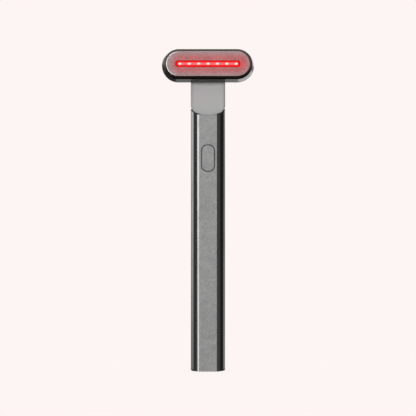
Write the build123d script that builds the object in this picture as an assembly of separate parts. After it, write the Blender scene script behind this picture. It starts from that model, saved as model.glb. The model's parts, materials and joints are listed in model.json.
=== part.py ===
# Red light therapy wand, in millimetres.
# The origin is the middle of the flat foot. +Z runs up the handle and the light faces -Y.
# The pill-shaped head swivels on the neck about an axis square to its own face.

import os
from math import cos, radians, sin, tan

from build123d import *

# Walls of the handle, which wraps closely round the cell and its chassis
shell_wall = 1.1
chassis_wall = 1.75
cell_front_room = 1.3
cell_back_room = 0.7
front_land = 8.3
bevel_width = 1.0
bevel_drop = 0.55
side_forward = 1.95
back_round = 5.1

# Cell and boards, stacked up the handle
cell_radius = 5.0
cell_length = 44.0
cell_foot_room = 0.8
cell_head_room = 1.6
cell_button_radius = 1.7
cell_button_height = 0.6
tab_width = 3.0
tab_thickness = 0.2
pad_width = 2.4
pad_height = 5.0
main_board_length = 52.2
main_board_margin = 1.45
board_thickness = 0.8
board_seat_step = 2.7
chassis_foot = 5.0
chassis_headroom = 0.5
chassis_pocket_width = 9.2
chassis_web = 1.5
charge_flex_width = 1.2
charge_flex_thickness = 0.15
charge_flex_side = 4.1
charge_flex_landing = 2.5

# Dished top of the handle, an ellipse that clears the swinging head
saddle_depth = 4.2
saddle_margin = 0.05
saddle_seam = 0.2
saddle_edge = 0.55
panel_edge = 0.25
shelf_drop = 0.3

# Front panel in its channel, the button through it and the switch below
panel_thickness = 0.8
button_inset = 11.7
button_width = 5.75
button_length = 12.1
button_corner = 2.6
button_gap = 0.3
button_edge = 0.25
button_travel = 0.3
button_thickness = 2.8
flange_lip = 0.7
flange_thickness = 0.6
switch_size = 5.2
switch_height = 0.9
plunger_radius = 1.1
plunger_rise = 0.7

# Vibration motor
motor_radius = 2.2
motor_length = 9.0
motor_drop = 24.3
motor_back = 1.3
rotor_radius = 0.4
rotor_depth = 4.0
weight_radius = 2.0
weight_length = 3.0
weight_gap = 0.5
weight_clearance = 0.5

# Neck, which leans back and carries the head
lean = 7.0
neck_rise = 17.92
pivot_forward = 1.4
neck_reach = 7.4
neck_edge = 0.8
neck_back_round = 3.0
neck_front_wall = 2.2
neck_cavity_width = 8.6
neck_cavity_sill = 2.85
neck_spigot = 7.4
cable_duct_width = 6.0
cable_duct_front = 2.0
cable_duct_back = 4.6
rear_cover_thickness = 1.2
rear_cover_lip = 0.7

# Head, as it faces: a pill with its widest belt behind a narrower rim
head_length = 42.8
head_width = 15.25
rim_end_taper = 0.95
rim_side_taper = 0.65
head_thickness = 10.0
belt_height = 5.6
head_back_round = 4.6
head_gap = 0.4
head_floor = 1.4
head_wall = 1.1
head_shelf = 1.6
rim_depth = 0.9
rim_edge = 0.8
rim_wall = 0.45
rim_step = 0.4
plate_margin = 1.0
plate_thickness = 1.2
plate_proud = 0.2
plate_edge = 0.35
ledge_width = 0.95
ledge_depth = 1.0
slot_margin = 4.4
slot_width = 3.1
window_flange = 0.9
window_flange_depth = 0.8
window_recess = 0.1
heater_thickness = 0.2
led_count = 7
led_margin = 2.045
led_size = 1.6
led_height = 0.9
carrier_depth = 3.0

# Swivel: hollow shaft, bush, washer, clip and stop pin
shaft_radius = 2.7
shaft_bore = 1.3
shaft_tail = 3.9
shaft_flange_length = 14.0
shaft_flange_width = 8.0
shaft_flange_gap = 0.3
shaft_flange_thickness = 1.0
shaft_screw_reach = 5.1
bush_wall = 0.7
bush_flange_width = 0.75
bush_flange_thickness = 0.35
washer_radius = 3.8
washer_thickness = 0.25
washer_rise = 0.7
clip_radius = 3.7
clip_thickness = 0.6
clip_groove = 0.4
clip_mouth = 2.6
stop_pin_radius = 0.75
stop_pin_gap = 0.45
stop_pin_root = 3.0
stop_pin_tip = 0.9
groove_depth = 1.1
groove_clearance = 0.15
cable_radius = 0.9

# End cap and the standard charging inlet
cap_rim = 0.9
cap_edge = 0.35
cap_plug = 4.6
cap_floor = 2.4
inlet_width = 8.94
inlet_height = 3.26
inlet_length = 7.35
inlet_wall = 0.3
inlet_recess = 0.3
contact_width = 6.69
contact_height = 0.7
contact_length = 4.45
inlet_board_width = 11.0
inlet_board_length = 9.95

# Screws
screw_radius = 0.7
screw_head_radius = 1.15
screw_head_height = 0.8
screw_recess = 0.3
shaft_screw_length = 1.1
board_screw_length = 3.4
board_screw_inset = 2.2
board_screw_drop = 8.3

# Clearances
fit = 0.05
running = 0.05
loose = 0.15
overrun = 2.0

# Handle sizes that follow: its section, then its heights from the foot up
handle_width = 2 * (cell_radius + fit + chassis_wall + loose + shell_wall)
handle_depth = panel_thickness + 2 * shell_wall + cell_front_room + 2 * cell_radius + cell_back_room
front_face = handle_depth / 2
back_face = handle_depth / 2
panel_back = front_face - panel_thickness
front_inside = panel_back - shell_wall
cell_back = cell_front_room + cell_radius - front_inside
main_board_front = front_face - button_thickness - plunger_rise - switch_height
board_back = main_board_front - board_thickness
main_board_width = handle_width - 2 * (shell_wall + main_board_margin)
inlet_board_low = cap_floor + fit
cell_low = inlet_board_low + inlet_board_length + cell_foot_room
main_board_low = cell_low + cell_length + cell_head_room
main_board_high = main_board_low + main_board_length
board_seat_low = main_board_low + board_seat_step
button_height = main_board_high - button_inset
motor_low = button_height - motor_drop
chassis_high = main_board_high + chassis_headroom
spigot_low = chassis_high + chassis_headroom
saddle_low = spigot_low + neck_spigot
handle_top = saddle_low + saddle_depth
pivot_height = handle_top + neck_rise
neck_cavity_drop = neck_rise - neck_cavity_sill

# Head sizes that follow, and heights above the neck's front face
head_back = head_gap
head_front = head_back + head_thickness
housing_front = head_front - rim_depth
housing_floor = head_back + head_floor
plate_front = head_front + plate_proud
plate_back = plate_front - plate_thickness
heater_back = plate_back - heater_thickness
led_board_front = heater_back - carrier_depth
led_board_back = led_board_front - board_thickness
rim_length = head_length - 2 * rim_end_taper
rim_width = head_width - 2 * rim_side_taper
plate_length = rim_length - 2 * plate_margin
plate_width = rim_width - 2 * plate_margin
rim_wall_length = plate_length + 2 * (fit + rim_wall)
rim_wall_width = plate_width + 2 * (fit + rim_wall)
rim_wall_back = plate_back - rim_step
slot_length = plate_length - 2 * slot_margin
led_pitch = (slot_length - 2 * led_margin) / (led_count - 1)
cavity_length = rim_length - 2 * head_wall
cavity_width = rim_width - 2 * head_wall
lower_cavity_length = cavity_length - 2 * head_shelf
lower_cavity_width = shaft_flange_width + 2 * shaft_flange_gap
bush_radius = shaft_radius + running + bush_wall
stop_radius = shaft_flange_width / 2 + stop_pin_gap + stop_pin_radius

# Planes: the front of the handle seen straight on, and the head's own plane on its swivel axis
facing = Plane(origin=(0, 0, 0), x_dir=(1, 0, 0), z_dir=(0, -1, 0))
swivel = Plane(
    origin=(0, -pivot_forward, pivot_height),
    x_dir=(1, 0, 0),
    z_dir=(0, -cos(radians(lean)), sin(radians(lean))),
)


# Helpers

def slab(outline, low, high, plane=Plane.XY):
    """An outline drawn on a plane, made solid between two heights above it."""
    return plane.location * Pos(0, 0, low) * extrude(outline, high - low)


def pill(length, width, low, high, plane=Plane.XY):
    return slab(SlotOverall(length, width), low, high, plane)


def rod(radius, low, high, place=(0, 0), plane=Plane.XY):
    return slab(Pos(*place) * Circle(radius), low, high, plane)


def block(left, right, low, high, rear, front):
    """A box between heights low and high, and between distances rear and front ahead of the axis."""
    outline = Pos((left + right) / 2, (low + high) / 2) * Rectangle(right - left, high - low)
    return slab(outline, rear, front, facing)


def edges_at(solid, plane, depth):
    """The edges that lie wholly at one depth over a plane."""
    near = overrun / 1000
    found = []
    for edge in solid.edges():
        box = (plane.location.inverse() * edge).bounding_box()
        if abs(box.min.Z - depth) < near and abs(box.max.Z - depth) < near:
            found.append(edge)
    return found


# Handle

def handle_section():
    half = handle_width / 2
    land = front_land / 2
    front_edge = Line((0, -front_face), (land, -front_face))
    bevel = Line(front_edge @ 1, (land + bevel_width, bevel_drop - front_face))
    side_flat = Line((half, -side_forward), (half, back_face - back_round))
    cheek = TangentArc(side_flat @ 0, bevel @ 1, tangent=(0, -1))
    back_corner = TangentArc(side_flat @ 1, (half - back_round, back_face), tangent=(0, 1))
    back_edge = Line(back_corner @ 1, (0, back_face))
    outline = front_edge + bevel + cheek + side_flat + back_corner + back_edge
    return make_face(outline.edges() + mirror(outline, Plane.YZ).edges())


def inner_section(clearance):
    """The room inside the walls, whose front is flat behind the panel channel."""
    inside = offset(handle_section(), -shell_wall - clearance)
    reach = front_inside - clearance
    return inside & Pos(0, (back_face - reach) / 2) * Rectangle(handle_width, back_face + reach)


def saddle(grow):
    """The space over the dished top, where the neck stands and the head swings."""
    across = handle_width / 2 + saddle_margin + grow
    dish = Pos(0, handle_top) * Ellipse(across, saddle_depth + grow)
    above = Pos(0, handle_top + pivot_height / 2) * Rectangle(2 * handle_width, pivot_height)
    return slab(dish + above, -handle_depth, handle_depth, facing)


def foot_strip(clearance):
    """The plan of the front wall between the bevels, the only wall that runs down to the foot."""
    across = front_land + 2 * bevel_width + 2 * clearance
    reach = handle_depth - front_inside + clearance
    return Pos(0, clearance - front_inside - reach / 2) * Rectangle(across, reach)


def button_outline(grow):
    return Pos(0, button_height) * RectangleRounded(
        button_width + 2 * grow, button_length + 2 * grow, button_corner + grow
    )


def dished_top():
    """The outside of the handle with its dish cut and the dish's outer edge broken."""
    body = slab(handle_section(), 0, handle_top) - saddle(0)
    rim = [edge for edge in body.edges() if edge.center().Z > saddle_low and not edge.is_closed]
    return chamfer(rim, saddle_edge)


def handle_shell():
    body = dished_top()
    body -= slab(inner_section(0), -overrun, handle_top + overrun)
    body -= block(-front_land / 2, front_land / 2, -overrun, handle_top + overrun, panel_back, handle_depth)
    body -= slab(handle_section() - foot_strip(0), -overrun, cap_rim)
    return body - slab(button_outline(button_gap), 0, handle_depth, facing)


def front_panel():
    side = front_land / 2 - fit
    body = block(-side, side, 0, handle_top, panel_back, front_face) - saddle(0)
    top_edge = [edge for edge in edges_at(body, facing, front_face) if edge.center().Z > button_height]
    body = chamfer(top_edge, panel_edge)
    return body - slab(button_outline(button_gap), 0, handle_depth, facing)


# Button and the switch under it

def button_cap():
    back = front_face - button_thickness
    body = slab(button_outline(0), back, front_face, facing)
    body = fillet(edges_at(body, facing, front_face), button_edge)
    flange_front = front_inside - running
    return body + slab(button_outline(flange_lip), flange_front - flange_thickness, flange_front, facing)


def switch_body():
    body = slab(
        Pos(0, button_height) * RectangleRounded(switch_size, switch_size, switch_height / 2),
        main_board_front,
        main_board_front + switch_height,
        facing,
    )
    hole = plunger_radius + running
    return body - rod(hole, main_board_front, front_face, (0, button_height), facing)


def switch_plunger():
    low = main_board_front + button_travel + 2 * running
    return rod(plunger_radius, low, front_face - button_thickness, (0, button_height), facing)


# Neck

def neck_profile():
    """The neck from the side: leaning front, rounded back of the top."""
    reach = neck_reach + fit
    top = swivel.from_local_coords((0, reach, 0))
    foot = swivel.from_local_coords((0, spigot_low - pivot_height - overrun, 0))
    back_top = (back_face, height_behind(reach))
    outline = make_face(Polyline((foot.Y, foot.Z), (top.Y, top.Z), back_top, (back_face, foot.Z), close=True))
    corner = outline.vertices().sort_by_distance(back_top)[0]
    return slab(fillet(corner, neck_back_round), 0, 2 * handle_width, Plane.YZ.offset(-handle_width))


def neck_outline():
    """The neck seen square to its front: straight sides and a half-round top."""
    centre = neck_reach - handle_width / 2
    run = pivot_height
    return Pos(0, centre) * Circle(handle_width / 2) + Pos(0, centre - run / 2) * Rectangle(handle_width, run)


def neck_tongue():
    body = slab(handle_section(), spigot_low, pivot_height + handle_width)
    body &= neck_profile()
    body &= slab(neck_outline(), -2 * handle_depth, overrun, swivel)
    front_edges = [edge for edge in edges_at(body, swivel, 0) if edge.center().Z > handle_top]
    return fillet(front_edges, neck_edge)


def neck():
    upper = neck_tongue() & saddle(-saddle_seam)
    inner = slab(inner_section(fit), spigot_low, handle_top)
    leaning = inner & neck_profile()
    body = upper + leaning + (inner - saddle(shelf_drop))
    body -= neck_cavity()
    body -= cover_space(fit)
    body -= cable_duct()
    body -= rod(bush_radius, -handle_depth, overrun, plane=swivel)
    return body - stop_groove()


def neck_cavity():
    """The pocket behind the front wall, round at both ends and open to the back."""
    turn = neck_cavity_width / 2
    middle = (turn - neck_cavity_drop) / 2
    outline = Pos(0, middle) * SlotOverall(neck_cavity_drop + turn, neck_cavity_width, rotation=90)
    return slab(outline, -2 * handle_depth, -neck_front_wall, swivel)


def height_behind(rise):
    """The height at which a line square to the neck's front, this far up from the pivot, meets the back."""
    start = swivel.from_local_coords((0, rise, 0))
    return start.Z - (back_face - start.Y) * tan(radians(lean))


def cover_space(clearance):
    """The seat of the rear cover, one lip wider than the pocket that it closes."""
    grow = rear_cover_lip + clearance
    width = neck_cavity_width + 2 * grow
    high = height_behind(neck_cavity_width / 2) + grow
    low = height_behind(-neck_cavity_drop) - grow
    outline = Pos(0, (high + low) / 2) * RectangleRounded(width, high - low, width / 2 - fit)
    return slab(outline, -handle_depth, rear_cover_thickness - back_face, facing)


def neck_rear_cover():
    return neck_tongue() & cover_space(0)


def cable_duct():
    return block(
        -cable_duct_width / 2,
        cable_duct_width / 2,
        spigot_low - overrun,
        pivot_height - neck_cavity_drop + 2 * cable_radius,
        -cable_duct_back,
        cable_duct_front,
    )


def stop_groove():
    """A half-ring groove in which the head's pin runs from stop to stop."""
    half = stop_pin_radius + groove_clearance
    ring = Circle(stop_radius + half) - Circle(stop_radius - half)
    reach = stop_radius + half
    ring -= Pos(0, -reach) * Rectangle(2 * reach, 2 * reach)
    ends = [Pos(side * stop_radius, 0) * Circle(half) for side in (-1, 1)]
    return slab(ring + ends, -groove_depth, overrun, swivel)


# Swivel hardware

def pivot_bush():
    body = rod(bush_radius, -neck_front_wall, 0, plane=swivel)
    body += rod(bush_radius + bush_flange_width, 0, bush_flange_thickness, plane=swivel)
    return body - rod(shaft_radius + running, -handle_depth, overrun, plane=swivel)


def screw_places():
    return [(side * shaft_screw_reach, 0) for side in (-1, 1)]


def pivot_shaft():
    body = pill(
        shaft_flange_length,
        shaft_flange_width,
        housing_floor,
        housing_floor + shaft_flange_thickness,
        swivel,
    )
    body += rod(shaft_radius, -shaft_tail, housing_floor, plane=swivel)
    body -= rod(shaft_bore, -handle_depth, handle_depth, plane=swivel)
    clip_front = -neck_front_wall - washer_rise
    groove = Circle(2 * shaft_radius) - Circle(shaft_radius - clip_groove)
    body -= slab(groove, clip_front - clip_thickness, clip_front, swivel)
    for place in screw_places():
        body -= rod(screw_radius, 0, handle_depth, place, swivel)
    return body


def screw(length, place, seat, plane):
    """A pan-head screw whose head rests on a seat and whose shank goes below it."""
    shank = rod(screw_radius, seat - length, seat, place, plane)
    head = rod(screw_head_radius, seat, seat + screw_head_height, place, plane)
    top = seat + screw_head_height
    recess = slab(Pos(*place) * RegularPolygon(screw_radius, 6), top - screw_recess, top, plane)
    return shank + head - recess


def shaft_screws():
    seat = housing_floor + shaft_flange_thickness
    length = shaft_flange_thickness + shaft_screw_length
    return [screw(length, place, seat, swivel) for place in screw_places()]


def spring_washer():
    """A washer cut from a bowed sheet, so that it pushes the clip away from the neck."""
    back = -neck_front_wall - washer_rise
    bow = washer_rise - washer_thickness - running
    sheet_low = ThreePointArc((-washer_radius, back), (0, back + bow), (washer_radius, back))
    lift = (0, washer_thickness)
    sheet_high = Pos(*lift) * sheet_low
    walls = [Line(sheet_low @ end, sheet_high @ end) for end in (0, 1)]
    sheet = make_face(sheet_low.edges() + sheet_high.edges() + [wall.edge() for wall in walls])
    across = Plane(origin=(0, washer_radius, 0), x_dir=(1, 0, 0), z_dir=(0, -1, 0))
    curved = swivel.location * slab(sheet, 0, 2 * washer_radius, across)
    ring = Circle(washer_radius) - Circle(shaft_radius + running)
    return curved & slab(ring, -handle_depth, 0, swivel)


def retaining_clip():
    front = -neck_front_wall - washer_rise
    outline = Circle(clip_radius) - Circle(shaft_radius - clip_groove + fit)
    outline -= Pos(0, -clip_radius) * Rectangle(clip_mouth, 2 * clip_radius)
    return slab(outline, front - clip_thickness, front, swivel)


def stop_pin():
    return rod(stop_pin_radius, -stop_pin_tip, stop_pin_root, (0, stop_radius), swivel)


# Head

def head_envelope():
    belt = head_back + belt_height
    body = pill(head_length, head_width, head_back, belt)
    body = fillet(edges_at(body, Plane.XY, head_back), head_back_round)
    wide = Pos(0, 0, belt) * SlotOverall(head_length, head_width)
    narrow = Pos(0, 0, head_front) * SlotOverall(rim_length, rim_width)
    body += loft([wide, narrow], ruled=True)
    return fillet(edges_at(body, Plane.XY, head_front), rim_edge)


def head_housing():
    body = head_envelope() - pill(2 * head_length, 2 * head_width, housing_front, 2 * head_front)
    body -= pill(rim_wall_length + 2 * fit, rim_wall_width + 2 * fit, rim_wall_back, 2 * head_front)
    body -= pill(cavity_length, cavity_width, led_board_back, 2 * head_front)
    body -= pill(lower_cavity_length, lower_cavity_width, housing_floor, 2 * head_front)
    body -= rod(shaft_radius + running, 0, head_front)
    for place in screw_places():
        body -= rod(screw_radius, housing_floor - shaft_screw_length, head_front, place)
    body -= rod(stop_pin_radius, 0, stop_pin_root, (0, stop_radius))
    return swivel.location * body


def bezel_ring():
    """A rounded rim over the housing, a wall let into it, and the ledge that the plate lies on."""
    body = head_envelope() - pill(2 * head_length, 2 * head_width, 0, housing_front)
    body += pill(rim_wall_length, rim_wall_width, rim_wall_back, housing_front)
    outer_length = cavity_length - 2 * fit
    outer_width = cavity_width - 2 * fit
    body += pill(outer_length, outer_width, plate_back - ledge_depth, rim_wall_back)
    body -= pill(plate_length + 2 * fit, plate_width + 2 * fit, plate_back, 2 * head_front)
    body -= pill(outer_length - 2 * ledge_width, outer_width - 2 * ledge_width, 0, 2 * head_front)
    return swivel.location * body


def treatment_plate():
    body = pill(plate_length, plate_width, plate_back, plate_front)
    body -= pill(slot_length, slot_width, 0, 2 * plate_front)
    body = fillet(edges_at(body, Plane.XY, plate_front), plate_edge)
    return swivel.location * body


def under_plate(low, high):
    """What lies under the plate, inside the bezel's ledge."""
    length = cavity_length - 2 * ledge_width - 4 * fit
    width = cavity_width - 2 * ledge_width - 4 * fit
    return pill(length, width, low, high)


def heater_film():
    gap = slot_width / 4
    body = under_plate(heater_back, plate_back)
    body -= pill(slot_length + gap, slot_width + gap, 0, 2 * plate_front)
    return swivel.location * body


def light_window():
    flange_back = heater_back - window_flange_depth
    body = pill(slot_length - 2 * fit, slot_width - 2 * fit, flange_back, plate_front - window_recess)
    flange_length = slot_length + 2 * window_flange
    flange_width = slot_width + 2 * window_flange
    return swivel.location * (body + pill(flange_length, flange_width, flange_back, heater_back))


def plate_carrier():
    shoulder = plate_back - ledge_depth
    body = pill(cavity_length - 2 * loose, cavity_width - 2 * loose, led_board_front, shoulder)
    body += under_plate(led_board_front, heater_back)
    body -= pill(slot_length, slot_width, 0, head_front)
    flange_length = slot_length + 2 * window_flange + 2 * fit
    flange_width = slot_width + 2 * window_flange + 2 * fit
    body -= pill(flange_length, flange_width, heater_back - window_flange_depth, head_front)
    return swivel.location * body


def led_board():
    body = pill(cavity_length - 2 * loose, cavity_width - 2 * loose, led_board_back, led_board_front)
    return swivel.location * body


def leds():
    solids = []
    for index in range(led_count):
        along = (index - (led_count - 1) / 2) * led_pitch
        base = slab(Rectangle(led_size, led_size), led_board_front, led_board_front + led_height / 2)
        lens = slab(Circle(led_size / 2 - fit), led_board_front, led_board_front + led_height)
        lens = chamfer(edges_at(lens, Plane.XY, led_board_front + led_height), led_height / 3)
        solids.append(swivel.location * Pos(along, 0, 0) * (base + lens))
    return solids


def head_cable():
    """The lead from the board up the neck and along the hollow shaft to the head."""
    turn = neck_cavity_width / 2 + neck_front_wall
    start = swivel.from_local_coords((0, 0, led_board_back - head_gap))
    corner = swivel.from_local_coords((0, 0, -turn))
    bend = (0, cable_duct_back - 2 * cable_radius, pivot_height - neck_cavity_drop)
    plug_middle = 1.5 * cable_radius - board_back
    duct_foot = (0, plug_middle, spigot_low + cable_radius)
    finish = (0, plug_middle, chassis_high - 3 * cable_radius)
    tight = 3 * cable_radius
    path = FilletPolyline(start, corner, bend, duct_foot, finish, radius=[tight, 2 * tight, 2 * tight])
    section = Plane(origin=path @ 0, z_dir=path % 0) * Circle(cable_radius)
    return sweep(section, path=path)


# End cap and charging inlet

def inlet_outline(grow):
    height = inlet_height + 2 * grow
    return SlotOverall(inlet_width + 2 * grow, height)


def end_cap():
    rim = slab(handle_section(), 0, cap_rim)
    rim = chamfer(edges_at(rim, Plane.XY, 0), cap_edge)
    body = rim - slab(foot_strip(fit), -overrun, cap_rim + overrun)
    body += slab(inner_section(fit), 0, cap_plug)
    body -= slab(inlet_outline(fit), -overrun, cap_plug + overrun)
    board_side = inlet_board_width / 2 + loose
    board_front = inlet_height / 2 + loose
    board_rear = -board_front - board_thickness
    return body - block(-board_side, board_side, cap_floor, cap_plug + overrun, board_rear, board_front)


def inlet_shell():
    body = slab(inlet_outline(0), inlet_recess, inlet_recess + inlet_length)
    bore_low = -overrun
    return body - slab(inlet_outline(-inlet_wall), bore_low, inlet_recess + inlet_length - inlet_wall)


def inlet_contacts():
    top = inlet_recess + inlet_length - inlet_wall
    plate = Pos(0, 0, (top + top - contact_length) / 2) * Box(contact_width, contact_height, contact_length)
    root_height = contact_length / 3
    root_depth = inlet_height - 2 * inlet_wall
    root = slab(inlet_outline(-inlet_wall - fit), top - root_height, top)
    return plate + (root & Box(inlet_width, root_depth, 2 * top))


def inlet_board():
    half = inlet_board_width / 2
    rear = -inlet_height / 2 - board_thickness
    top = inlet_board_low + inlet_board_length
    return block(-half, half, inlet_board_low, top, rear, rear + board_thickness)


# Inside the handle

def cell():
    place = (0, cell_back)
    body = rod(cell_radius, cell_low, cell_low + cell_length - cell_button_height, place)
    body = chamfer(body.faces().sort_by(Axis.Z)[-1].edges(), cell_button_height / 2)
    return body + rod(cell_button_radius, cell_low, cell_low + cell_length, place)


def chassis():
    body = slab(inner_section(loose), chassis_foot, chassis_high)
    body -= block(-handle_width, handle_width, 0, board_seat_low, -cell_back, handle_depth)
    body -= block(-handle_width, handle_width, 0, handle_top, board_back, handle_depth)
    inlet_rear = -inlet_height / 2 - board_thickness
    body -= block(-handle_width, handle_width, 0, cell_low - tab_thickness - fit, inlet_rear, handle_depth)
    bay_top = cell_low + cell_length + tab_thickness + fit
    body -= rod(cell_radius + fit, cell_low - tab_thickness - fit, bay_top, (0, cell_back))
    body -= motor_bay()
    body -= cable_bay()
    for height in board_screw_heights():
        body -= rod(screw_radius, board_back - board_screw_length, board_back, (0, height), facing)
    return body - chassis_pockets()


def chassis_pockets():
    """Cores taken out from the rear, below the motor and above its weight, with a rib between each two."""
    half = chassis_pocket_width / 2
    front = board_back - board_screw_length - chassis_web
    weight_top = motor_low + motor_length + 2 * weight_gap + weight_length + weight_clearance
    spans = [
        (board_seat_low + chassis_web, motor_low - chassis_web),
        (weight_top + chassis_web, chassis_high - 3 * cable_duct_width / 2 - chassis_web),
    ]
    cores = []
    for low, high in spans:
        middle = (low + high) / 2
        for bottom, top in ((low, middle - chassis_web / 2), (middle + chassis_web / 2, high)):
            cores.append(block(-half, half, bottom, top, -handle_depth, front))
    return cores


def charge_flex():
    """The flat lead that brings the charge up past the cell, from the inlet's board to the main board."""
    sides = (charge_flex_side, charge_flex_side + charge_flex_width)
    rear = -inlet_height / 2
    front = main_board_front + charge_flex_thickness
    top = inlet_board_low + inlet_board_length
    over = top - charge_flex_thickness
    body = block(*sides, top - charge_flex_landing, top, rear, rear + charge_flex_thickness)
    body += block(*sides, over, top, rear, front)
    return body + block(*sides, over, main_board_low + charge_flex_landing, main_board_front, front)


def board_screw_heights():
    return [board_seat_low + board_screw_inset, button_height - board_screw_drop]


def motor_bay():
    """A half-round trough for the motor, wider where its weight spins."""
    place = (0, motor_back)
    top = motor_low + motor_length
    width = motor_radius + fit
    body = rod(width, motor_low - fit, top, place)
    body += block(-width, width, motor_low - fit, top, -motor_back, handle_depth)
    swing = max(weight_radius, motor_radius) + weight_clearance
    room_top = top + 2 * weight_gap + weight_length + weight_clearance
    body += rod(swing, top, room_top, place)
    return body + block(-swing, swing, top, room_top, -motor_back, handle_depth)


def cable_bay():
    half = cable_duct_width / 2
    return block(-half, half, chassis_high - 3 * half, chassis_high + overrun, -cable_duct_back, handle_depth)


def vibration_motor():
    place = (0, motor_back)
    top = motor_low + motor_length
    body = rod(motor_radius, motor_low, top, place)
    body = chamfer(body.faces().sort_by(Axis.Z)[-1].edges(), rotor_radius)
    return body - rod(rotor_radius + running, top - rotor_depth, top + overrun, place)


def motor_spindle():
    top = motor_low + motor_length
    low = top - rotor_depth + running
    return rod(rotor_radius, low, top + weight_gap + weight_length, (0, motor_back))


def eccentric_weight():
    low = motor_low + motor_length + weight_gap
    hub = 2 * rotor_radius
    outline = Circle(weight_radius) - Pos(0, weight_radius) * Rectangle(2 * weight_radius, 2 * weight_radius)
    outline += Circle(hub)
    outline -= Circle(rotor_radius)
    return Pos(0, motor_back, 0) * slab(outline, low, low + weight_length)


def main_board():
    half = main_board_width / 2
    body = block(-half, half, main_board_low, main_board_high, board_back, main_board_front)
    for height in board_screw_heights():
        body -= rod(screw_radius, 0, front_face, (0, height), facing)
    return body


def board_screws():
    places = [(0, height) for height in board_screw_heights()]
    return [screw(board_screw_length, place, main_board_front, facing) for place in places]


def board_parts():
    """Chips and connectors: width, height, thickness, across and up, as shares of the board."""
    board_length = main_board_high - main_board_low
    chip_shares = [
        (0.46, 0.096, 0.9, 0.0, 0.30),
        (0.28, 0.058, 0.8, -0.20, 0.17),
        (0.30, 0.064, 1.6, 0.22, 0.43),
        (0.24, 0.050, 0.7, -0.24, 0.55),
        (0.12, 0.030, 0.6, 0.26, 0.56),
        (0.12, 0.030, 0.6, 0.26, 0.17),
    ]
    solids = []
    for width_share, height_share, thick_share, across_share, up_share in chip_shares:
        outline = Rectangle(width_share * main_board_width, height_share * board_length)
        across = across_share * main_board_width
        up = main_board_low + up_share * board_length
        top = main_board_front + thick_share * board_thickness
        solids.append(slab(Pos(across, up) * outline, main_board_front, top, facing))
    return solids


def cable_plug():
    """The connector on the back of the board that takes the head's lead."""
    half = cable_duct_width / 2 - loose
    top = chassis_high - 3 * cable_radius
    return block(-half, half, top - 3 * cable_radius, top, board_back - 3 * cable_radius, board_back)


def cell_tabs():
    """Welded nickel strips from the two ends of the cell to the board."""
    half = tab_width / 2
    front = cell_radius - cell_back
    board_foot = board_seat_low - loose
    low = cell_low - tab_thickness
    under = block(-half, half, low, cell_low, -cell_back, front + tab_thickness)
    riser = block(-half, half, low, board_foot, front, front + tab_thickness)
    bridge = block(-half, half, board_foot - tab_thickness, board_foot, main_board_front, front)
    top = cell_low + cell_length
    over = block(-half, half, top, top + tab_thickness, -cell_back, board_back)
    lift = block(-half, half, top, board_foot, board_back - tab_thickness, board_back)
    return [under + riser + bridge, over + lift]


def cell_pads():
    """Foam that holds the cell in its trough, either side of the long strip."""
    solids = []
    for share in (0.2, 0.8):
        middle = cell_low + share * cell_length
        for side in (-1, 1):
            inner = side * (tab_width / 2 + fit)
            outer = inner + side * pad_width
            body = block(
                min(inner, outer),
                max(inner, outer),
                middle - pad_height / 2,
                middle + pad_height / 2,
                0,
                front_inside,
            )
            solids.append(body - rod(cell_radius, 0, handle_top, (0, cell_back)))
    return solids


pieces = {
    "handle_shell": handle_shell(),
    "front_panel": front_panel(),
    "button_cap": button_cap(),
    "switch_body": switch_body(),
    "switch_plunger": switch_plunger(),
    "neck": neck(),
    "neck_rear_cover": neck_rear_cover(),
    "pivot_bush": pivot_bush(),
    "pivot_shaft": pivot_shaft(),
    "shaft_screws": shaft_screws(),
    "spring_washer": spring_washer(),
    "retaining_clip": retaining_clip(),
    "stop_pin": stop_pin(),
    "head_housing": head_housing(),
    "bezel_ring": bezel_ring(),
    "treatment_plate": treatment_plate(),
    "heater_film": heater_film(),
    "light_window": light_window(),
    "plate_carrier": plate_carrier(),
    "led_board": led_board(),
    "leds": leds(),
    "head_cable": head_cable(),
    "end_cap": end_cap(),
    "inlet_shell": inlet_shell(),
    "inlet_contacts": inlet_contacts(),
    "inlet_board": inlet_board(),
    "battery_cell": cell(),
    "battery_tabs": cell_tabs(),
    "battery_pads": cell_pads(),
    "chassis": chassis(),
    "vibration_motor": vibration_motor(),
    "motor_spindle": motor_spindle(),
    "eccentric_weight": eccentric_weight(),
    "main_board": main_board(),
    "board_parts": board_parts(),
    "board_screws": board_screws(),
    "charge_flex": charge_flex(),
    "cable_plug": cable_plug(),
}

os.makedirs("parts", exist_ok=True)
for name, piece in pieces.items():
    solid = Compound(children=piece) if isinstance(piece, list) else piece
    export_step(solid, f"parts/{name}.step")
    print(name, "volume", round(solid.volume, 1))
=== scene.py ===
import json
import math

import bpy
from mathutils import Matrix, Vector


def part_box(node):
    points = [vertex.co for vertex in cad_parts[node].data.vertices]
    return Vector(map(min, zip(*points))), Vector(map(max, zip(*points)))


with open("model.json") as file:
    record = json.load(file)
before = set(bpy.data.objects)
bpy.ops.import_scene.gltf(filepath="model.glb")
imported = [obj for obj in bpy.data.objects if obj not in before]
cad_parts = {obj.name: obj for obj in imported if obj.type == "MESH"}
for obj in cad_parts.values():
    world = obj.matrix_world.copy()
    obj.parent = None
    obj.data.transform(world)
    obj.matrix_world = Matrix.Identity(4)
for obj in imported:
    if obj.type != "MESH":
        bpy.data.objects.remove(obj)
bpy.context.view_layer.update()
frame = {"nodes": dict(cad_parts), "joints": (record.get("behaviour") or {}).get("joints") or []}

nodes = frame["nodes"]
joints = {joint["name"]: joint for joint in frame["joints"]}
mm = 0.001
print("frame loaded:", len(nodes), "nodes")


# camera, at the photo's height and straight in front

viewFrom = {
    "height": 76.1 * mm,
    "distance": 700 * mm,  # from the handle's front
    "seenWidth": 193.48 * mm,
    "frontFace": 7.5 * mm,
    "sensor": 36.0,
    "nearest": 0.01,
    "furthest": 100.0,
}


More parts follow.
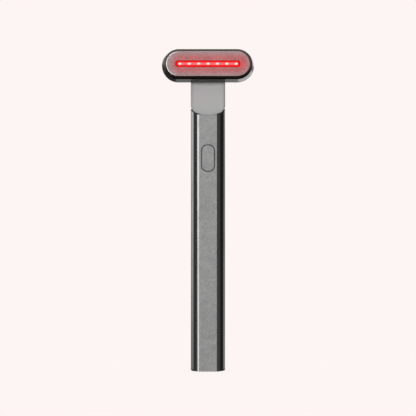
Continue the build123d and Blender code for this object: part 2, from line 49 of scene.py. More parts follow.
def addCamera():
    data = bpy.data.cameras.new("photoCamera")
    data.sensor_width = viewFrom["sensor"]
    data.lens = viewFrom["sensor"] * viewFrom["distance"] / viewFrom["seenWidth"]
    data.clip_start = viewFrom["nearest"]
    data.clip_end = viewFrom["furthest"]
    camera = bpy.data.objects.new("photoCamera", data)
    bpy.context.scene.collection.objects.link(camera)
    camera.location = (0.0, -viewFrom["distance"] - viewFrom["frontFace"], viewFrom["height"])
    camera.rotation_euler = (math.radians(90.0), 0.0, 0.0)
    bpy.context.scene.camera = camera


addCamera()
print("camera placed")


# small node helpers; a source is another node's output or a plain value

def wire(tree, source, target):
    if hasattr(source, "is_output"):
        tree.links.new(source, target)
    else:
        target.default_value = source


def calc(tree, operation, first, second=0.5, third=0.5):
    node = tree.nodes.new("ShaderNodeMath")
    node.operation = operation
    for source, target in zip((first, second, third), node.inputs):
        wire(tree, source, target)
    return node.outputs[0]


def vectorCalc(tree, operation, first, second=(0.0, 0.0, 0.0), result="Vector"):
    node = tree.nodes.new("ShaderNodeVectorMath")
    node.operation = operation
    wire(tree, first, node.inputs[0])
    node.inputs[1].default_value = second
    return node.outputs[result]


# soft step from one range of values to another
def remap(tree, value, low, high, newLow=0.0, newHigh=1.0):
    node = tree.nodes.new("ShaderNodeMapRange")
    node.interpolation_type = "SMOOTHSTEP"
    sources = {
        "Value": value,
        "From Min": low,
        "From Max": high,
        "To Min": newLow,
        "To Max": newHigh,
    }
    for name, source in sources.items():
        wire(tree, source, node.inputs[name])
    return node.outputs["Result"]


# one up to the start, none from the end
def fade(tree, value, start, end):
    return remap(tree, value, start, end, 1.0, 0.0)


def blendColour(tree, factor, first, second, mode="MIX"):
    node = tree.nodes.new("ShaderNodeMix")
    node.data_type = "RGBA"
    node.blend_type = mode
    wire(tree, factor, node.inputs[0])
    wire(tree, first, node.inputs[6])
    wire(tree, second, node.inputs[7])
    return node.outputs[2]


def multiplyColour(tree, first, second):
    return blendColour(tree, 1.0, first, second, "MULTIPLY")


def grey(level):
    return (level, level, level, 1.0)


# a colour brought down to a share of itself where the mask is one
def darkenWhere(tree, mask, colour, share):
    return multiplyColour(tree, colour, blendColour(tree, mask, grey(1.0), grey(share)))


# a colour multiplied by a value that changes over the surface
def shadeColour(tree, colour, value):
    node = tree.nodes.new("ShaderNodeCombineColor")
    for channel in node.inputs:
        wire(tree, value, channel)
    return multiplyColour(tree, colour, node.outputs[0])


def rootOfSquares(tree, first, second):
    total = calc(tree, "MULTIPLY_ADD", first, first, calc(tree, "MULTIPLY", second, second))
    return calc(tree, "SQRT", total)


def noiseOf(tree, vector, scale, detail=2.0, rough=0.5):
    node = tree.nodes.new("ShaderNodeTexNoise")
    wire(tree, vector, node.inputs["Vector"])
    wire(tree, scale, node.inputs["Scale"])
    node.inputs["Detail"].default_value = detail
    node.inputs["Roughness"].default_value = rough
    return node.outputs["Fac"]


def coordinates(tree, kind="Object"):
    return tree.nodes.new("ShaderNodeTexCoord").outputs[kind]


# the X, Y and Z of a vector
def partsOf(tree, vector):
    node = tree.nodes.new("ShaderNodeSeparateXYZ")
    tree.links.new(vector, node.inputs[0])
    return node.outputs


# effects that several finishes share, each a node group

effectOutputs = {
    "Color": "NodeSocketColor",
    "Roughness": "NodeSocketFloat",
    "Height": "NodeSocketFloat",
}


def newEffect(name, **inputs):
    group = bpy.data.node_groups.new(name, "ShaderNodeTree")
    for label, value in inputs.items():
        kind = "NodeSocketColor" if isinstance(value, tuple) else "NodeSocketFloat"
        made = group.interface.new_socket(label, in_out="INPUT", socket_type=kind)
        made.default_value = value
    for label, kind in effectOutputs.items():
        group.interface.new_socket(label, in_out="OUTPUT", socket_type=kind)
    given = group.nodes.new("NodeGroupInput").outputs
    out = group.nodes.new("NodeGroupOutput").inputs
    return group, given, out


grainLook = {
    "fineDetail": 3.0,
    "fineRough": 0.65,
    "broadScale": 0.12,  # of the fine grain's scale
    "fineShare": 0.8,
    "broadShare": 0.2,
    "darkBelow": 0.36,
    "lightAbove": 0.64,
    "roughnessSpread": 0.12,
}


# fine pits of bead blasting: a speckled colour, a height and a roughness
def makeBlastedGrain():
    group, given, out = newEffect(
        "blastedGrain", Dark=grey(0.25), Light=grey(0.35), Scale=3000.0, Roughness=0.5
    )
    point = coordinates(group)
    fine = noiseOf(
        group, point, given["Scale"], grainLook["fineDetail"], grainLook["fineRough"]
    )
    broadScale = calc(group, "MULTIPLY", given["Scale"], grainLook["broadScale"])
    broad = noiseOf(group, point, broadScale)
    mixed = calc(
        group,
        "ADD",
        calc(group, "MULTIPLY", fine, grainLook["fineShare"]),
        calc(group, "MULTIPLY", broad, grainLook["broadShare"]),
    )
    light = remap(group, mixed, grainLook["darkBelow"], grainLook["lightAbove"])
    spread = calc(group, "MULTIPLY", fine, grainLook["roughnessSpread"])
    wire(group, blendColour(group, light, given["Dark"], given["Light"]), out["Color"])
    wire(group, calc(group, "ADD", given["Roughness"], spread), out["Roughness"])
    wire(group, mixed, out["Height"])
    return group


marksLook = {
    "smudgeScale": 95.0,
    "smudgeDetail": 4.0,
    "smudgeRough": 0.6,
    "smudgeFrom": 0.42,
    "smudgeTo": 0.72,
    "smudgeShade": 0.12,
    "lineStretch": (1.0, 1.0, 0.02),  # drawn out along the handle
    "lineScale": 2600.0,
}


# what a polished skin picks up: faint rub lines along the length and soft smudges
def makePolishMarks():
    group, given, out = newEffect(
        "polishMarks", Color=grey(0.3), Smudge=0.1, Lines=0.05, Roughness=0.15
    )
    point = coordinates(group)
    cloud = noiseOf(
        group, point, marksLook["smudgeScale"], marksLook["smudgeDetail"], marksLook["smudgeRough"]
    )
    smudge = remap(group, cloud, marksLook["smudgeFrom"], marksLook["smudgeTo"])
    drawnOut = vectorCalc(group, "MULTIPLY", point, marksLook["lineStretch"])
    lines = noiseOf(group, drawnOut, marksLook["lineScale"])
    fromSmudge = calc(group, "MULTIPLY", smudge, given["Smudge"])
    fromLines = calc(group, "MULTIPLY", lines, given["Lines"])
    rough = calc(group, "ADD", calc(group, "ADD", given["Roughness"], fromSmudge), fromLines)
    shade = calc(group, "MULTIPLY_ADD", smudge, -marksLook["smudgeShade"], 1.0)
    wire(group, shadeColour(group, given["Color"], shade), out["Color"])
    wire(group, rough, out["Roughness"])
    wire(group, lines, out["Height"])
    return group


sparkLook = {
    "sparkDetail": 2.0,
    "sparkRough": 0.6,
    "cloudScale": 60.0,
    "cloudDetail": 3.0,
    "roughnessSpread": 0.1,
}


# spark texture of a moulded or lacquered skin
def makeMouldedSkin():
    group, given, out = newEffect(
        "mouldedSkin", Color=grey(0.3), Scale=1800.0, Roughness=0.4, Mottle=0.05
    )
    point = coordinates(group)
    spark = noiseOf(
        group, point, given["Scale"], sparkLook["sparkDetail"], sparkLook["sparkRough"]
    )
    cloud = noiseOf(group, point, sparkLook["cloudScale"], sparkLook["cloudDetail"])
    offMiddle = calc(group, "SUBTRACT", cloud, 0.5)
    shade = calc(group, "MULTIPLY_ADD", offMiddle, given["Mottle"], 1.0)
    rough = calc(
        group, "MULTIPLY_ADD", spark, sparkLook["roughnessSpread"], given["Roughness"]
    )
    wire(group, shadeColour(group, given["Color"], shade), out["Color"])
    wire(group, rough, out["Roughness"])
    wire(group, spark, out["Height"])
    return group


blastedGrain = makeBlastedGrain()
polishMarks = makePolishMarks()
mouldedSkin = makeMouldedSkin()
print("shared effects built")


# how materials are put together

texture = {
    "polishedBump": 0.04,
    "polishedDepth": 0.01 * mm,
    "mouldedDepth": 0.01 * mm,
    "blastedDepth": 0.03 * mm,
    "coatRoughness": 0.06,
}


def newMaterial(name):
    material = bpy.data.materials.new(name)
    material.use_nodes = True
    tree = material.node_tree
    return material, tree, tree.nodes["Principled BSDF"]


def placeEffect(tree, group, **values):
    node = tree.nodes.new("ShaderNodeGroup")
    node.node_tree = group
    for name, value in values.items():
        wire(tree, value, node.inputs[name])
    return node.outputs


def bumpTo(tree, skin, height, strength, depth):
    node = tree.nodes.new("ShaderNodeBump")
    node.inputs["Strength"].default_value = strength
    node.inputs["Distance"].default_value = depth
    tree.links.new(height, node.inputs["Height"])
    tree.links.new(node.outputs["Normal"], skin.inputs["Normal"])


def dressSkin(tree, skin, colour, roughness):
    tree.links.new(colour, skin.inputs["Base Color"])
    tree.links.new(roughness, skin.inputs["Roughness"])


# polished metal with its marks; tinted makes the colour, and shaded alters it over the surface
def polishedMetal(name, look, tinted=None, shaded=None):
    material, tree, skin = newMaterial(name)
    skin.inputs["Metallic"].default_value = 1.0
    effect = placeEffect(
        tree,
        polishMarks,
        Color=tinted(tree) if tinted else look["colour"],
        Roughness=look["roughness"],
        Smudge=look["smudge"],
        Lines=look["lines"],
    )
    colour = shaded(tree, effect["Color"]) if shaded else effect["Color"]
    dressSkin(tree, skin, colour, effect["Roughness"])
    bumpTo(tree, skin, effect["Height"], texture["polishedBump"], texture["polishedDepth"])
    return material


def moulded(name, colour, roughness, scale=1800.0, bump=0.15, coat=0.0, mottle=0.06):
    material, tree, skin = newMaterial(name)
    skin.inputs["Coat Weight"].default_value = coat
    skin.inputs["Coat Roughness"].default_value = texture["coatRoughness"]
    effect = placeEffect(
        tree, mouldedSkin, Color=colour, Roughness=roughness, Scale=scale, Mottle=mottle
    )
    dressSkin(tree, skin, effect["Color"], effect["Roughness"])
    bumpTo(tree, skin, effect["Height"], bump, texture["mouldedDepth"])
    return material


# handle shell

shellLook = {
    "colour": (0.33, 0.33, 0.326, 1.0),
    "roughness": 0.12,
    "smudge": 0.05,
    "lines": 0.03,
    # where the painted crease shade lies, and how dark it is
    "creaseOuter": -5.3 * mm,
    "creaseInnerAtFoot": -4.72 * mm,
    "creaseTaper": -0.00196,
    "creaseSoft": 0.06 * mm,
    "creaseShade": 0.3,
    "frontFrom": -6.6 * mm,
}


# painted shade in the crease where the left front bevel ends: a dark line that narrows upward
def creaseWithPaintedShade(tree, colour):
    point = partsOf(tree, coordinates(tree))
    innerEdge = calc(
        tree,
        "MULTIPLY_ADD",
        point["Z"],
        shellLook["creaseTaper"],
        shellLook["creaseInnerAtFoot"],
    )
    pastInner = calc(tree, "SUBTRACT", innerEdge, point["X"])
    beforeOuter = calc(tree, "SUBTRACT", point["X"], shellLook["creaseOuter"])
    creaseShadeMask = calc(
        tree,
        "MULTIPLY",
        remap(tree, pastInner, 0.0, shellLook["creaseSoft"]),
        remap(tree, beforeOuter, 0.0, shellLook["creaseSoft"]),
    )
    atFront = calc(tree, "LESS_THAN", point["Y"], shellLook["frontFrom"])
    creaseShadeMask = calc(tree, "MULTIPLY", creaseShadeMask, atFront)
    return darkenWhere(tree, creaseShadeMask, colour, shellLook["creaseShade"])


gunmetal = polishedMetal("darkPolishedMetal", shellLook, shaded=creaseWithPaintedShade)


# front panel and button, one bead-blasted skin with the groove between them

panelLook = {
    "dark": grey(0.28),
    "light": grey(0.42),
    "scale": 2600.0,
    "roughness": 0.46,
    "metallic": 0.35,
    "bump": 0.35,
}
buttonLook = {
    "halfAcross": 3.025 * mm,
    "halfAlong": 6.2 * mm,
    "corner": 2.75 * mm,
    "grooveFull": 0.18 * mm,
    "grooveEnd": 0.42 * mm,
    "grooveShade": 0.62,
}


# how near a point is to the groove round the button, where shade is painted: one in it, none
# beside it
def paintedGrooveShadeMask(tree):
    point = partsOf(tree, coordinates(tree))
    lowest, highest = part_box("button_cap")
    middleHeight = (lowest.z + highest.z) / 2.0
    offsets = []
    for axis, middle, half in (("X", 0.0, "halfAcross"), ("Z", middleHeight, "halfAlong")):
        off = calc(tree, "ABSOLUTE", calc(tree, "SUBTRACT", point[axis], middle))
        offsets.append(calc(tree, "SUBTRACT", off, buttonLook[half] - buttonLook["corner"]))
    outside = rootOfSquares(tree, *[calc(tree, "MAXIMUM", off, 0.0) for off in offsets])
    inside = calc(tree, "MINIMUM", calc(tree, "MAXIMUM", *offsets), 0.0)
    edge = calc(tree, "SUBTRACT", calc(tree, "ADD", outside, inside), buttonLook["corner"])
    away = calc(tree, "ABSOLUTE", edge)
    return fade(tree, away, buttonLook["grooveFull"], buttonLook["grooveEnd"])


# bead-blasted metal, with painted shade in the groove round the button
def makePanelMaterial():
    material, tree, skin = newMaterial("beadBlastedPanel")
    skin.inputs["Metallic"].default_value = panelLook["metallic"]
    effect = placeEffect(
        tree,
        blastedGrain,
        Dark=panelLook["dark"],
        Light=panelLook["light"],
        Scale=panelLook["scale"],
        Roughness=panelLook["roughness"],
    )
    colour = darkenWhere(tree, paintedGrooveShadeMask(tree), effect["Color"], buttonLook["grooveShade"])
    dressSkin(tree, skin, colour, effect["Roughness"])
    bumpTo(tree, skin, effect["Height"], panelLook["bump"], texture["blastedDepth"])
    return material


blasted = makePanelMaterial()


# neck

neckLook = {
    "colour": (0.435, 0.435, 0.435, 1.0),
    # painted dark reflection: the colour the lacquer shows in polished metal
    "paintedDarkReflection": (0.12, 0.12, 0.12, 1.0),
    "roughness": 0.45,
    "metallic": 0.05,
    "specular": 0.3,
    "scale": 1800.0,
    "mottle": 0.03,
    "bump": 0.05,
    "borderShade": 0.75,
    "borderWidth": 1.9 * mm,
    "frontUpTo": -0.3,  # which way the skin faces, -1 to the front and 0 to the side
    "sideFrom": -0.05,
}


# painted shade at the left and right borders of the neck's front: one there, none in its middle
# and on its sides
def frontBorderShadeMask(tree):
    fromMiddle = calc(tree, "ABSOLUTE", partsOf(tree, coordinates(tree))["X"])
    facing = partsOf(tree, coordinates(tree, "Normal"))["Y"]
    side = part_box("neck")[1].x
    near = remap(tree, fromMiddle, side - neckLook["borderWidth"], side)
    front = fade(tree, facing, neckLook["frontUpTo"], neckLook["sideFrom"])
    return calc(tree, "MULTIPLY", near, front)


# satin grey lacquer with painted shade along its front borders; where the polished head mirrors
# it, a painted reflection makes it dark
def makeNeckMaterial():
    material, tree, skin = newMaterial("satinGreyLacquer")
    skin.inputs["Metallic"].default_value = neckLook["metallic"]
    skin.inputs["Specular IOR Level"].default_value = neckLook["specular"]
    effect = placeEffect(
        tree,
        mouldedSkin,
        Color=neckLook["colour"],
        Roughness=neckLook["roughness"],
        Scale=neckLook["scale"],
        Mottle=neckLook["mottle"],
    )
    plain = darkenWhere(tree, frontBorderShadeMask(tree), effect["Color"], neckLook["borderShade"])
    paintedDarkReflection = tree.nodes.new("ShaderNodeLightPath").outputs["Is Glossy Ray"]
    colour = blendColour(tree, paintedDarkReflection, plain, neckLook["paintedDarkReflection"])
    dressSkin(tree, skin, colour, effect["Roughness"])
    bumpTo(tree, skin, effect["Height"], neckLook["bump"], texture["mouldedDepth"])
    return material


neckGrey = makeNeckMaterial()

capLook = {"colour": (0.012, 0.012, 0.013, 1.0), "roughness": 0.32, "bump": 0.12}
blackCap = moulded("blackMouldedCap", **capLook)
print("finishes of the handle, button and neck built")


# the head's own directions, for what lies round its light

swivelPoint = Vector(joints["head_swivel"]["pos_m"])
faceAxis = Vector(joints["head_swivel"]["axis"])
acrossAxis = Vector((1.0, 0.0, 0.0))
riseAxis = faceAxis.cross(acrossAxis)


# how far a point of the head lies from the swivel axis in one direction
def along(tree, axis):
    fromPivot = vectorCalc(tree, "SUBTRACT", coordinates(tree), swivelPoint)
    return vectorCalc(tree, "DOT_PRODUCT", fromPivot, axis, "Value")


slotLook = {
    "halfStraight": 13.5 * mm,
    "halfWidth": 1.55 * mm,
    "lampPitch": 4.335 * mm,
}


# distance of a point from the slot's middle line, or from that line moved aside
def distanceFromSlot(tree, aside=0.0):
    across = calc(tree, "SUBTRACT", along(tree, acrossAxis), aside)
    past = calc(tree, "SUBTRACT", calc(tree, "ABSOLUTE", across), slotLook["halfStraight"])
    return rootOfSquares(tree, calc(tree, "MAXIMUM", past, 0.0), along(tree, riseAxis))


# head housing and the rim round its face

headLook = {
    "colour": (0.34, 0.335, 0.33, 1.0),
    "roughness": 0.1,
    "smudge": 0.05,
    "lines": 0.0,
}
rimLook = {
    "upper": (0.12, 0.1, 0.095, 1.0),
    "lowerPaintedShade": (0.035, 0.022, 0.021, 1.0),
    "darkBelow": -4.5 * mm,
    "paleAbove": 0.5 * mm,
    "roughness": 0.2,
    "smudge": 0.04,
    "lines": 0.0,
}


# black chrome, with painted shade darkening the lower half of the rim
def rimColour(tree):
    upper = remap(tree, along(tree, riseAxis), rimLook["darkBelow"], rimLook["paleAbove"])
    return blendColour(tree, upper, rimLook["lowerPaintedShade"], rimLook["upper"])


headMetal = polishedMetal("headPolishedMetal", headLook)
blackChrome = polishedMetal("blackChromeRim", rimLook, tinted=rimColour)


# treatment plate

plateLook = {
    "edge": (0.43, 0.29, 0.29, 1.0),
    "near": (0.55, 0.145, 0.15, 1.0),
    "glowFrom": 2.2 * mm,
    "glowReach": 6.1 * mm,
    "glowAside": 0.9 * mm,
    "lip": (0.5, 0.21, 0.215, 1.0),
    "lipFrom": 2.0 * mm,
    "lipTo": 2.5 * mm,
    "lipEnd": 0.8 * mm,
    "speckle": (0.78, 1.2),
    "scale": 2200.0,
    "roughness": 0.4,
    "metallic": 0.35,
    "bump": 0.3,
    "polishedHighlight": (0.9, 0.84, 0.83, 1.0),
    "polishedDim": (0.62, 0.5, 0.5, 1.0),
    "polishedFrom": 5.6 * mm,
    "polishedSoft": 0.15 * mm,
    "polishedWider": 0.25 * mm,
    "polishedRoughness": 0.32,
    "brightUpTo": -16.0 * mm,
    "dimFrom": -13.0 * mm,
}


# painted glow: the plate takes the red light's colour near the slot, with a painted highlight as a
# paler line along the slot
def platePaintedGlow(tree):
    away = distanceFromSlot(tree, plateLook["glowAside"])
    glow = fade(tree, away, plateLook["glowFrom"], plateLook["glowReach"])
    paintedGlowTint = blendColour(tree, glow, plateLook["edge"], plateLook["near"])
    up = calc(tree, "ABSOLUTE", along(tree, riseAxis))
    across = calc(tree, "ABSOLUTE", along(tree, acrossAxis))
    slotEnd = slotLook["halfStraight"]
    lip = calc(
        tree,
        "MULTIPLY",
        fade(tree, up, plateLook["lipFrom"], plateLook["lipTo"]),
        fade(tree, across, slotEnd, slotEnd + plateLook["lipEnd"]),
    )
    return blendColour(tree, lip, paintedGlowTint, plateLook["lip"])


# satin metal with a polished edge, which a painted highlight makes wider and brighter at the left
# end
def makePlateMaterial():
    material, tree, skin = newMaterial("satinPlate")
    paintedGlowTint = platePaintedGlow(tree)
    darker, lighter = [
        multiplyColour(tree, paintedGlowTint, grey(level)) for level in plateLook["speckle"]
    ]
    effect = placeEffect(
        tree,
        blastedGrain,
        Dark=darker,
        Light=lighter,
        Scale=plateLook["scale"],
        Roughness=plateLook["roughness"],
    )
    paintedHighlightFade = remap(tree, along(tree, acrossAxis), plateLook["brightUpTo"], plateLook["dimFrom"])
    wider = calc(
        tree, "MULTIPLY_ADD", paintedHighlightFade, -plateLook["polishedWider"], plateLook["polishedWider"]
    )
    away = calc(tree, "ADD", distanceFromSlot(tree), wider)
    start = plateLook["polishedFrom"]
    edge = remap(tree, away, start, start + plateLook["polishedSoft"])
    polishedHighlight = blendColour(tree, paintedHighlightFade, plateLook["polishedHighlight"], plateLook["polishedDim"])
    colour = blendColour(tree, edge, effect["Color"], polishedHighlight)
    satin = calc(tree, "MULTIPLY", calc(tree, "SUBTRACT", 1.0, edge), effect["Roughness"])
    rough = calc(tree, "MULTIPLY_ADD", edge, plateLook["polishedRoughness"], satin)
    dressSkin(tree, skin, colour, rough)
    metal = plateLook["metallic"]
    tree.links.new(
        calc(tree, "MULTIPLY_ADD", edge, 1.0 - metal, metal), skin.inputs["Metallic"]
    )
    bumpTo(tree, skin, effect["Height"], plateLook["bump"], texture["blastedDepth"])
    return material


plateSkin = makePlateMaterial()


# light window

windowLook = {
    "base": (0.1, 0.001, 0.001, 1.0),
    "red": (0.82, 0.0, 0.001, 1.0),
    "rim": (0.4, 0.0, 0.001, 1.0),
    "rimWidth": 0.25 * mm,
    "pink": (0.96, 0.17, 0.17, 1.0),
    "white": (1.0, 0.86, 0.87, 1.0),
    "lampHalfLength": 0.72 * mm,
    "lampHalfWidth": 0.48 * mm,
    "lampFull": 0.5,  # of its half sizes
    "lampEnd": 1.5,
    "pinkFrom": 0.2 * mm,
    "pinkTo": 0.95 * mm,
    "pinkUpTo": 13.2 * mm,
    "pinkEnd": 14.2 * mm,
    "roughness": 0.3,
    "specular": 0.1,
    "shine": 1.0,
}


# the lamps show through the red window as bright spots joined by a pink line, with painted shade
# along its border
def makeWindowMaterial():
    material, tree, skin = newMaterial("redLightWindow")
    x = along(tree, acrossAxis)
    fromLamp = calc(tree, "PINGPONG", x, slotLook["lampPitch"] / 2.0)
    across = calc(tree, "DIVIDE", fromLamp, windowLook["lampHalfLength"])
    up = calc(tree, "DIVIDE", along(tree, riseAxis), windowLook["lampHalfWidth"])
    spot = rootOfSquares(tree, across, up)
    lamp = fade(tree, spot, windowLook["lampFull"], windowLook["lampEnd"])
    away = distanceFromSlot(tree)
    line = fade(tree, away, windowLook["pinkFrom"], windowLook["pinkTo"])
    fromMiddle = calc(tree, "ABSOLUTE", x)
    inside = fade(tree, fromMiddle, windowLook["pinkUpTo"], windowLook["pinkEnd"])
    border = slotLook["halfWidth"]
    rim = remap(tree, away, border - windowLook["rimWidth"], border)
    red = blendColour(tree, rim, windowLook["red"], windowLook["rim"])
    pink = calc(tree, "MULTIPLY", line, inside)
    pinkish = blendColour(tree, pink, red, windowLook["pink"])
    light = blendColour(tree, lamp, pinkish, windowLook["white"])
    tree.links.new(light, skin.inputs["Emission Color"])
    skin.inputs["Emission Strength"].default_value = windowLook["shine"]
    skin.inputs["Base Color"].default_value = windowLook["base"]
    skin.inputs["Roughness"].default_value = windowLook["roughness"]
    skin.inputs["Specular IOR Level"].default_value = windowLook["specular"]
    return material


windowSkin = makeWindowMaterial()
print("finishes of the head built")


# inner pieces

metalLooks = {
    "turnedSteel": {
        "colour": (0.56, 0.56, 0.57, 1.0),
        "roughness": 0.24,
        "smudge": 0.08,
        "lines": 0.1,
    },
    "sinteredSteel": {
        "colour": (0.3, 0.3, 0.31, 1.0),
        "roughness": 0.4,
        "smudge": 0.1,
        "lines": 0.1,
    },
    "nickelStrip": {
        "colour": (0.62, 0.59, 0.54, 1.0),
        "roughness": 0.3,
        "smudge": 0.1,
        "lines": 0.12,
    },
}
mouldedLooks = {
    "bearingPlastic": {"colour": (0.62, 0.58, 0.50, 1.0), "roughness": 0.4},
    "blackPlastic": {"colour": (0.03, 0.03, 0.032, 1.0), "roughness": 0.5, "bump": 0.3},
    "whitePlastic": {"colour": (0.75, 0.74, 0.70, 1.0), "roughness": 0.45},
    "boardGreen": {
        "colour": (0.012, 0.12, 0.055, 1.0),
        "roughness": 0.35,
        "scale": 900.0,
        "coat": 0.3,
        "mottle": 0.3,
    },
    "heaterFilm": {
        "colour": (0.5, 0.2, 0.03, 1.0),
        "roughness": 0.3,
        "scale": 700.0,
        "coat": 0.4,
    },
    "cellWrap": {"colour": (0.05, 0.14, 0.33, 1.0), "roughness": 0.3, "coat": 0.4},
    "foam": {
        "colour": (0.09, 0.09, 0.09, 1.0),
        "roughness": 0.9,
        "scale": 900.0,
        "bump": 0.8,
    },
    "cableJacket": {"colour": (0.02, 0.02, 0.02, 1.0), "roughness": 0.55},
}

inner = {name: polishedMetal(name, look) for name, look in metalLooks.items()}
inner.update({name: moulded(name, **look) for name, look in mouldedLooks.items()})


# every node gets its finish

dressing = {
    "handle_shell": gunmetal,
    "front_panel": blasted,
    "button_cap": blasted,
    "neck": neckGrey,
    "neck_rear_cover": neckGrey,
    "end_cap": blackCap,
    "head_housing": headMetal,
    "bezel_ring": blackChrome,
    "treatment_plate": plateSkin,
    "light_window": windowSkin,
    "leds": inner["whitePlastic"],
    "led_board": inner["boardGreen"],
    "heater_film": inner["heaterFilm"],
    "plate_carrier": inner["whitePlastic"],
    "pivot_shaft": inner["turnedSteel"],
    "shaft_screws": inner["turnedSteel"],
    "stop_pin": inner["turnedSteel"],
    "spring_washer": inner["turnedSteel"],
    "retaining_clip": inner["turnedSteel"],
    "pivot_bush": inner["bearingPlastic"],
    "inlet_shell": inner["turnedSteel"],
    "inlet_contacts": inner["blackPlastic"],
    "inlet_board": inner["boardGreen"],
    "head_cable": inner["cableJacket"],
    "chassis": inner["blackPlastic"],
    "battery_cell": inner["cellWrap"],
    "battery_tabs": inner["nickelStrip"],
    "battery_pads": inner["foam"],
    "main_board": inner["boardGreen"],
    "board_parts": inner["blackPlastic"],
    "board_screws": inner["turnedSteel"],
    "charge_flex": inner["heaterFilm"],
    "cable_plug": inner["whitePlastic"],
    "switch_body": inner["turnedSteel"],
    "switch_plunger": inner["blackPlastic"],
    "vibration_motor": inner["turnedSteel"],
    "motor_spindle": inner["turnedSteel"],
    "eccentric_weight": inner["sinteredSteel"],
}

for node, material in dressing.items():
    slots = nodes[node].data.materials
    slots.clear()
    slots.append(material)
print("materials on", len(dressing), "nodes")


# studio: pale surroundings and floor, soft lamps

studio = {
    "pale": (0.983, 0.913, 0.896, 1.0),
    "tent": grey(0.8),
    "ambient": 0.4,
    "tentAbove": 0.9,
    "tentBelow": 0.4,
    "belowUpTo": -4,  # degrees from the horizon
    "aboveFrom": 2,
}

# what polished metal sees round it, like white and black cards hung in a light tent: each with
# azimuth and elevation of its middle, half width, half height, softness across and up in degrees,
# then how bright it is; a later card hangs in front of the ones before it
cards = {
    "backLeftGrey": (-143, -20, 39, 40, 6, 10, 0.36),
    "backLeftWhite": (-143, 42, 39, 44, 6, 16, 1.3),
    "backLeftBright": (-121, 22, 9, 22, 5, 14, 1.55),
    "backLeftShade": (-161, 10, 13, 6, 4, 3, 0.3),
    "overhead": (0, 90, 180, 45, 4, 14, 1.7),
    "backLeftHigh": (-152, 60, 26, 14, 4, 4, 0.0),
    "backLeftBlack": (-154, -34, 16, 27, 5, 3, 0.058),
    "backLeftSlit": (-154, 1, 6, 7, 2, 2, 0.05),
    "backRightWhite": (143, 30, 37, 42, 7, 7, 0.72),
    "backRightGrey": (153, -24, 23, 20, 9, 7, 1.15),
    "backRightBright": (160, 10, 12, 8, 4, 4, 1.35),
    "backRightDip": (152, -1, 10, 5, 4, 5, 0.42),
    "backRightHigh": (152, 64, 26, 20, 4, 4, 0.03),
    "backRightShade": (132, 0, 14, 14, 6, 6, 0.37),
    "leftBlack": (-82, 0, 20, 60, 4, 4, 0.107),
    "frontPale": (-12, 35, 34, 34, 10, 10, 0.9),
    "frontLow": (-12, -40, 60, 34, 8, 8, 0.07),
    "leftGlint": (-100, 20, 32, 10, 8, 6, 2.0),
    "leftStrip": (-51, 0, 8, 60, 3, 4, 3.6),
    "rightBlack": (88, 0, 34, 60, 6, 4, 0.04),
    "rightSheen": (63, 0, 11, 60, 3, 4, 0.165),
    "rightLow": (126, -10, 13, 9, 8, 10, 0.6),
    "underneath": (0, -90, 180, 40, 4, 10, 0.02),
}


# the brightness all round, with one more card hung in it
def hangCard(tree, turn, lift, level, card):
    *angles, brightness = card
    azimuth, elevation, halfWidth, halfHeight, acrossSoft, upSoft = map(math.radians, angles)
    aside = calc(tree, "WRAP", calc(tree, "SUBTRACT", turn, azimuth), math.pi, -math.pi)
    across = calc(tree, "ABSOLUTE", aside)
    up = calc(tree, "ABSOLUTE", calc(tree, "SUBTRACT", lift, elevation))
    mask = calc(
        tree,
        "MULTIPLY",
        fade(tree, across, halfWidth - acrossSoft / 2, halfWidth + acrossSoft / 2),
        fade(tree, up, halfHeight - upSoft / 2, halfHeight + upSoft / 2),
    )
    kept = calc(tree, "MULTIPLY", level, calc(tree, "SUBTRACT", 1.0, mask))
    return calc(tree, "MULTIPLY_ADD", mask, brightness, kept)


def background(tree, colour, strength):
    node = tree.nodes.new("ShaderNodeBackground")
    node.inputs["Color"].default_value = colour
    wire(tree, strength, node.inputs["Strength"])
    return node.outputs[0]


def mixShaders(tree, factor, first, second):
    node = tree.nodes.new("ShaderNodeMixShader")
    for source, target in zip((factor, first, second), node.inputs):
        tree.links.new(source, target)
    return node.outputs[0]


# pale to the camera; to polished metal, a light tent with its cards
def addWorld():
    world = bpy.data.worlds.new("studioWorld")
    bpy.context.scene.world = world
    world.use_nodes = True
    tree = world.node_tree
    tree.nodes.clear()
    toward = partsOf(tree, coordinates(tree, "Generated"))
    turn = calc(tree, "ARCTAN2", toward["X"], calc(tree, "MULTIPLY", toward["Y"], -1.0))
    lift = calc(tree, "ARCSINE", toward["Z"])
    horizon = [math.radians(studio[name]) for name in ("belowUpTo", "aboveFrom")]
    level = remap(tree, lift, *horizon, studio["tentBelow"], studio["tentAbove"])
    for card in cards.values():
        level = hangCard(tree, turn, lift, level, card)
    soft = background(tree, studio["tent"], studio["ambient"])
    gloss = background(tree, studio["tent"], level)
    seen = background(tree, studio["pale"], 1.0)
    rays = tree.nodes.new("ShaderNodeLightPath").outputs
    lit = mixShaders(tree, rays["Is Glossy Ray"], soft, gloss)
    looked = calc(tree, "MAXIMUM", rays["Is Camera Ray"], rays["Is Transmission Ray"])
    out = tree.nodes.new("ShaderNodeOutputWorld")
    tree.links.new(mixShaders(tree, looked, lit, seen), out.inputs["Surface"])


floorLook = {
    "half": 30.0,
    "colour": (0.86, 0.80, 0.785, 1.0),
    "roughness": 0.8,
    "shadowShare": 0.2,
    "shadowFullTo": 0.048,
    "shadowEnd": 0.16,
    "litLevel": 0.45,  # how bright the lamps make the floor, against the pale colour
}


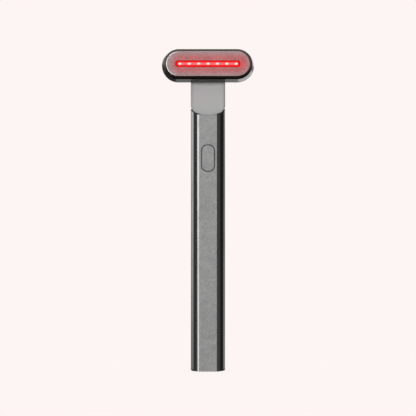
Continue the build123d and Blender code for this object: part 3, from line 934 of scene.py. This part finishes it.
# the camera sees the floor as pale as the surroundings, with a share of its shadow near the foot
def makeFloorMaterial():
    material, tree, skin = newMaterial("paleFloor")
    skin.inputs["Base Color"].default_value = floorLook["colour"]
    skin.inputs["Roughness"].default_value = floorLook["roughness"]
    away = vectorCalc(tree, "LENGTH", coordinates(tree), result="Value")
    share = remap(
        tree,
        away,
        floorLook["shadowFullTo"],
        floorLook["shadowEnd"],
        floorLook["shadowShare"],
        0.0,
    )
    keep = calc(tree, "SUBTRACT", 1.0, share)
    rest = calc(tree, "MULTIPLY_ADD", share, -floorLook["litLevel"], 1.0)
    plain = tree.nodes.new("ShaderNodeEmission")
    plain.inputs["Color"].default_value = studio["pale"]
    tree.links.new(calc(tree, "DIVIDE", rest, keep), plain.inputs["Strength"])
    toCamera = tree.nodes.new("ShaderNodeLightPath").outputs["Is Camera Ray"]
    factor = calc(tree, "MULTIPLY", toCamera, keep)
    surface = mixShaders(tree, factor, skin.outputs[0], plain.outputs[0])
    tree.links.new(surface, tree.nodes["Material Output"].inputs["Surface"])
    return material


def addFloor():
    mesh = bpy.data.meshes.new("studioFloor")
    half = floorLook["half"]
    corners = [(-half, -half, 0), (half, -half, 0), (half, half, 0), (-half, half, 0)]
    mesh.from_pydata(corners, [], [(0, 1, 2, 3)])
    mesh.materials.append(makeFloorMaterial())
    floor = bpy.data.objects.new("studioFloor", mesh)
    bpy.context.scene.collection.objects.link(floor)
    floor.visible_glossy = False


lampTarget = Vector((0.0, 0.0, 0.09))
lamps = {
    "frontSoft": {
        "azimuth": -4,
        "elevation": 4,
        "distance": 1.1,
        "width": 0.9,
        "height": 0.4,
        "level": 7.6,
    },
    "rearSoft": {
        "azimuth": 165,
        "elevation": 20,
        "distance": 1.1,
        "width": 1.2,
        "height": 0.5,
        "level": 2.0,
    },
}


# a soft box that shines evenly at the given level, turned to the target
def addLamp(name, azimuth, elevation, distance, width, height, level):
    data = bpy.data.lights.new(name, "AREA")
    data.shape = "RECTANGLE"
    data.size = width
    data.size_y = height
    data.energy = level * math.pi * width * height
    lamp = bpy.data.objects.new(name, data)
    bpy.context.scene.collection.objects.link(lamp)
    turn, lift = math.radians(azimuth), math.radians(elevation)
    flat = math.cos(lift)
    away = Vector((math.sin(turn) * flat, -math.cos(turn) * flat, math.sin(lift)))
    lamp.location = lampTarget + distance * away
    lamp.rotation_euler = away.to_track_quat("Z", "Y").to_euler()
    lamp.visible_glossy = False


addWorld()
addFloor()
for name, settings in lamps.items():
    addLamp(name, **settings)
bpy.context.scene.view_settings.view_transform = "Standard"
print("studio set")
